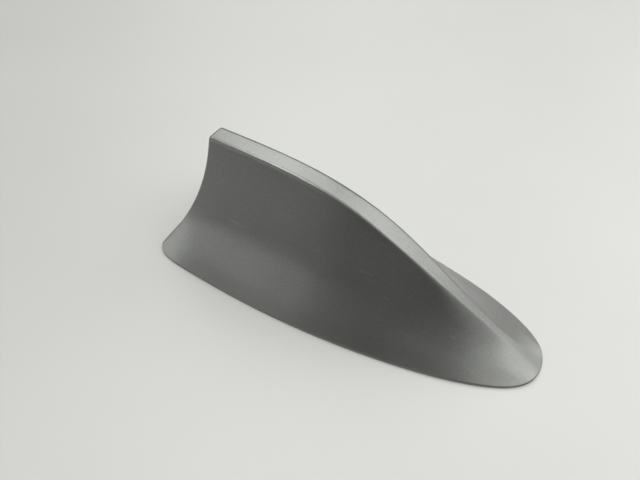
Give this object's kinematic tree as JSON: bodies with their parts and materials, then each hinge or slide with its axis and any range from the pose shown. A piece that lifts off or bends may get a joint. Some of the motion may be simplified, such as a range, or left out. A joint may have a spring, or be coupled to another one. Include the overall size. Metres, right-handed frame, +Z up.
{
  "type": "shark-fin roof aerial cover",
  "caption": "Moulded shark-fin cover for a car's roof aerial: a hollow shell with concave flanks, a flat-topped spine, a hollowed trailing face and a thin lip around its rim.",
  "frame": {"origin": "middle of the footprint, in the plane of the rim", "axes": "+X towards the nose, which is the front on a car; +Y to the left; +Z up, away from the roof"},
  "size_m": [0.165, 0.0674, 0.0523],
  "materials": {
    "cover_paint": "satin metallic grey paint over moulded plastic"
  },
  "bodies": {
    "root": {"fin_cover": "cover_paint"}
  },
  "joints": []
}
